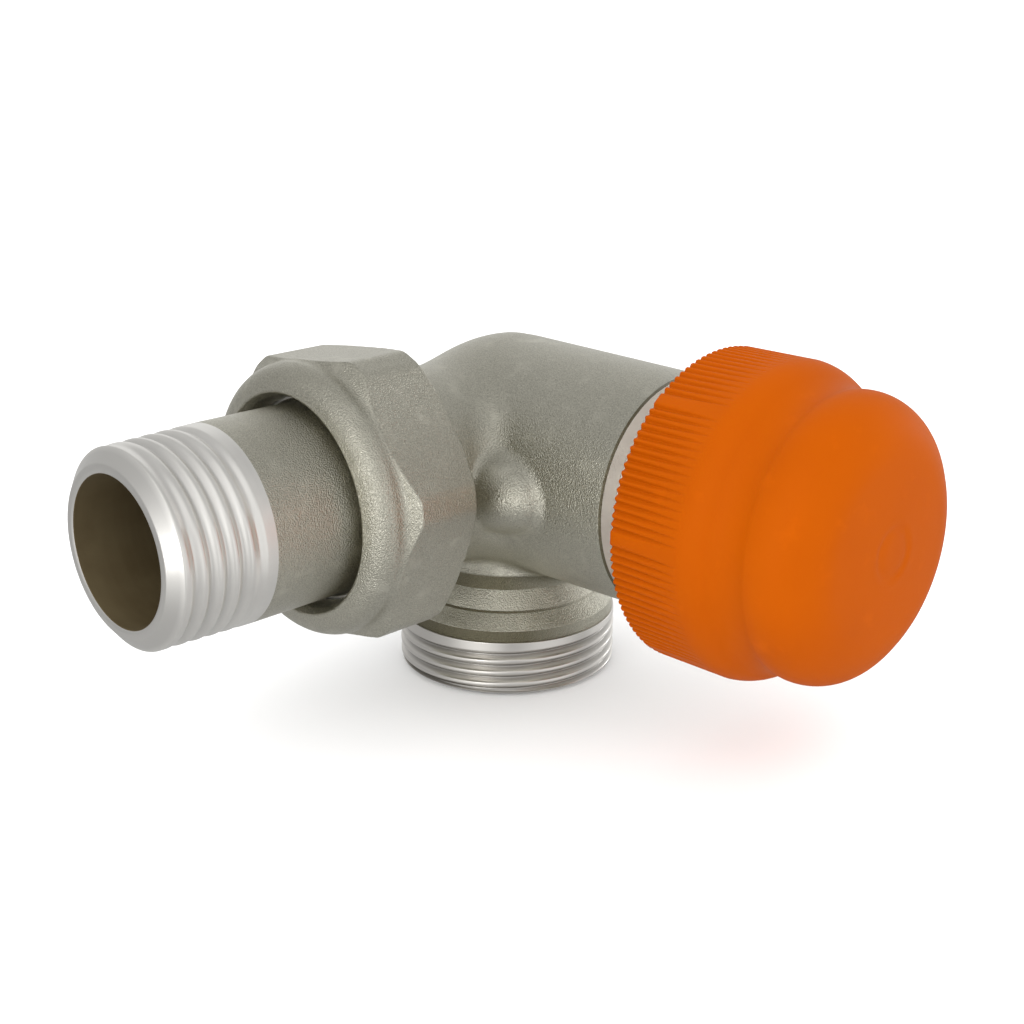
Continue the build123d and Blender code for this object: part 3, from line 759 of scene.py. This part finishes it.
def arc(start, middle, end, count):
    """Points on the circle through three points, from start up to but not including end."""
    (ax, ay), (bx, by), (cx, cy) = start, middle, end
    d = 2 * (ax * (by - cy) + bx * (cy - ay) + cx * (ay - by))
    a2, b2, c2 = ax * ax + ay * ay, bx * bx + by * by, cx * cx + cy * cy
    ux = (a2 * (by - cy) + b2 * (cy - ay) + c2 * (ay - by)) / d
    uy = (a2 * (cx - bx) + b2 * (ax - cx) + c2 * (bx - ax)) / d
    radius = math.hypot(ax - ux, ay - uy)
    first = math.atan2(ay - uy, ax - ux)
    mid = math.atan2(by - uy, bx - ux)
    last = math.atan2(cy - uy, cx - ux)

    def ahead(a, b):
        return (b - a) % (2 * math.pi)

    sweep = ahead(first, last)
    if ahead(first, mid) > sweep:
        sweep -= 2 * math.pi
    turns = [first + sweep * k / count for k in range(count)]
    return [(ux + radius * math.cos(turn), uy + radius * math.sin(turn)) for turn in turns]


def cap_outer():
    """Outside outline of the cap from the rim to the middle of the front."""
    start, parts = CAP_RIM + 0.3, 12
    points = [(CAP_RIM, CAP_RADIUS - 0.3), (CAP_RIM + 0.1, CAP_RADIUS - 0.1), (start, CAP_RADIUS)]
    points += [(start + (RIB_END - 0.4 - start) * k / parts, CAP_RADIUS) for k in range(1, parts)]
    here = (RIB_END - 0.4, CAP_RADIUS)
    for middle, end, count in CAP_ARCS:
        points += arc(here, middle, end, count)
        here = end
    return points + arc(here, (53.5, 4.5), (CAP_FRONT, 0.0), 10)[:7]


def rib_angles():
    """Angles of the cap's points: close together at each groove, wider in the gaps."""
    centres = []
    for group in range(RIB_GROUPS):
        middle = RIB_PHASE + group * 2 * math.pi / RIB_GROUPS
        for n in range(RIBS_IN_GROUP):
            lean = middle + (n - (RIBS_IN_GROUP - 1) / 2) * RIB_SPACING
            centres.append((math.pi / 2 + lean) % (2 * math.pi))
    centres.sort()
    edge = 1.2
    degrees = [-edge, -0.92, -0.62, -0.35, -0.12, 0.12, 0.35, 0.62, 0.92, edge]
    angles = [c + math.radians(d) for c in centres for d in degrees]
    for one, two in zip(centres, centres[1:] + [centres[0] + 2 * math.pi]):
        gap = two - one
        if gap > 1.5 * RIB_SPACING:
            inner = gap - 2 * math.radians(edge)
            count = int(inner / math.radians(0.9))
            angles += [one + math.radians(edge) + inner * k / count for k in range(1, count)]
    return np.sort(np.array(angles) % (2 * math.pi)), np.array(centres)


cap_angles, groove_centres = rib_angles()


def cap_shape(along, radius, angle, look):
    """V grooves that end in points at the end of the ribbed band, with a slightly rounded root."""
    near = np.searchsorted(groove_centres, angle[0])
    before = groove_centres[near - 1]
    after = groove_centres[near % len(groove_centres)]
    gap = np.minimum(np.abs((angle[0] - before + math.pi) % (2 * math.pi) - math.pi),
                     np.abs((angle[0] - after + math.pi) % (2 * math.pi) - math.pi))
    done = np.clip((along - CAP_RIM) / (RIB_END - CAP_RIM), 0, 1)
    deep = RIB_DEPTH * (1.0 - 1.05 * done ** RIB_FADE)
    side = np.sqrt((gap * CAP_RADIUS) ** 2 + RIB_ROOT ** 2) - RIB_ROOT
    cut = np.clip(deep - side * RIB_SLOPE, 0, None)
    return np.where((look >= THREADED) & (along < RIB_END + 0.2), radius - cut, radius)


outer = [(s, r, THREADED) for s, r in cap_outer()]
mark = [(CAP_FRONT - 0.02, 3.1, 0), (CAP_FRONT - 0.09, 2.85, 0), (CAP_FRONT - 0.14, 2.45, 0),
        (CAP_FRONT - 0.10, 2.1, 0), (CAP_FRONT - 0.03, 1.7, 0), (CAP_FRONT - 0.01, 1.0, 0),
        (CAP_FRONT - 0.01, 0, 0)]
inner = softened([
    (51.3, 0.0, 0, 0), (44.25, 0.0, 0, 0), (44.25, 3.0, 0, 0.2), (51.3, 3.2, 0, 0.2),
    (51.3, 7.0, 0, 0.5), (50.6, 10.4, 0, 0.8), (48.4, CAP_INSIDE, 0, 0.8),
    (43.4, CAP_INSIDE, 0, 0.4), (41.4, CAP_SKIRT_INSIDE, 0, 0.3),
    (CAP_RIM + 0.4, CAP_SKIRT_INSIDE, 0, 0.1), (CAP_RIM, 15.45, 0, 0.1),
])[1:]
lathe("cap_moulding", INSERT, outer + mark + inner, cap_angles, [PLASTIC], "cap",
      ["protective_cap"], cap_shape, math.pi)

# ---- floor, light and backdrop ----------------------------------------------------------------

FLOOR_RADIUS = 60.0
FLOOR_GAP = 0.00002         # the floor lies this far under the lower end face


def stage_floor():
    s = Shader("floor_paper")
    patch = s.noise(3.0, 2.0, 0.5)
    s.bump(s.noise(900.0, 2.0, 0.5), 0.00002, 0.2)
    s.surface(Base_Color=s.blend(patch, (0.93, 0.93, 0.93), (0.96, 0.96, 0.96)),
              Roughness=0.9, Specular_IOR_Level=0.1)
    count = 96
    angle = even_angles(count)
    verts = np.stack([FLOOR_RADIUS * np.cos(angle), FLOOR_RADIUS * np.sin(angle),
                      np.full(count, -FLOOR_GAP)], -1)
    mesh = bpy.data.meshes.new("floor")
    mesh.from_pydata(verts.tolist(), [], [list(range(count))])
    mesh.materials.append(s.material)
    floor = placed("floor", mesh)
    floor.visible_glossy = False


stage_floor()


def heading(turn, rise):
    """Unit vector at an angle to the right of the camera's side of the part and above the floor."""
    turn, rise = math.radians(turn), math.radians(rise)
    ahead, aside = math.cos(turn) * math.cos(rise), math.sin(turn) * math.cos(rise)
    return (ahead * sin_a + aside * cos_a, -ahead * cos_a + aside * sin_a, math.sin(rise))


def toward(turn, rise, distance):
    return tuple(m + distance * h for m, h in zip(MIDDLE, heading(turn, rise)))


def soft_light(name, place, target, width, height, power):
    data = bpy.data.lights.new(name, "AREA")
    data.shape = "RECTANGLE"
    data.size, data.size_y = width, height
    data.energy = power
    lamp = placed(name, data)
    aim = np.array(target) - np.array(place)
    lamp.rotation_mode = "QUATERNION"
    lamp.rotation_quaternion = Vector(aim).to_track_quat("-Z", "Y")
    lamp.location = place
    return lamp


MIDDLE = (0.015, -0.015, 0.025)
soft_light("window", toward(-27.0, -4.0, 0.9), MIDDLE, 0.14, 0.30, 1.0)
soft_light("side", toward(128.0, 4.0, 0.9), MIDDLE, 0.12, 0.30, 0.5)
fill = soft_light("fill", (0.55, -0.85, 0.75), MIDDLE, 1.2, 1.2, 5.6)
fill.visible_glossy = False

sun_data = bpy.data.lights.new("overhead", "SUN")
sun_data.angle = math.radians(170.0)
sun_data.energy = 2.8
sun = placed("overhead", sun_data)
sun.visible_glossy = False

WALL_GREY = 0.47
# (turn, rise, reach, added light) of the bright and dark patches of the studio's walls, in degrees
WALL_PATCHES = [(-30.0, -5.0, 36.0, 0.86), (-10.0, 40.0, 44.0, 0.42), (46.0, -2.0, 44.0, 0.46),
                (124.0, -4.0, 42.0, 0.45), (180.0, 6.0, 50.0, 0.38), (-92.0, -4.0, 22.0, -0.14)]


def studio_world():
    """Even grey walls with soft brighter and darker patches."""
    world = bpy.data.worlds.new("studio")
    world.use_nodes = True
    bpy.context.scene.world = world
    tree = world.node_tree
    background = tree.nodes["Background"]
    place = tree.nodes.new("ShaderNodeTexCoord").outputs["Generated"]
    total = None
    for turn, rise, reach, light in WALL_PATCHES:
        near = tree.nodes.new("ShaderNodeVectorMath")
        near.operation = "DOT_PRODUCT"
        tree.links.new(place, near.inputs[0])
        near.inputs[1].default_value = heading(turn, rise)
        patch = tree.nodes.new("ShaderNodeMapRange")
        patch.interpolation_type = "SMOOTHSTEP"
        patch.inputs["From Min"].default_value = math.cos(math.radians(reach))
        patch.inputs["From Max"].default_value = math.cos(math.radians(reach * 0.25))
        patch.inputs["To Max"].default_value = light
        tree.links.new(near.outputs["Value"], patch.inputs["Value"])
        joined = tree.nodes.new("ShaderNodeMath")
        tree.links.new(patch.outputs["Result"], joined.inputs[0])
        if total is None:
            joined.inputs[1].default_value = WALL_GREY
        else:
            tree.links.new(total, joined.inputs[1])
        total = joined.outputs[0]
    tree.links.new(total, background.inputs["Strength"])
    background.inputs["Color"].default_value = (1.0, 1.0, 1.0, 1.0)


studio_world()

bpy.context.scene.view_settings.view_transform = "Standard"
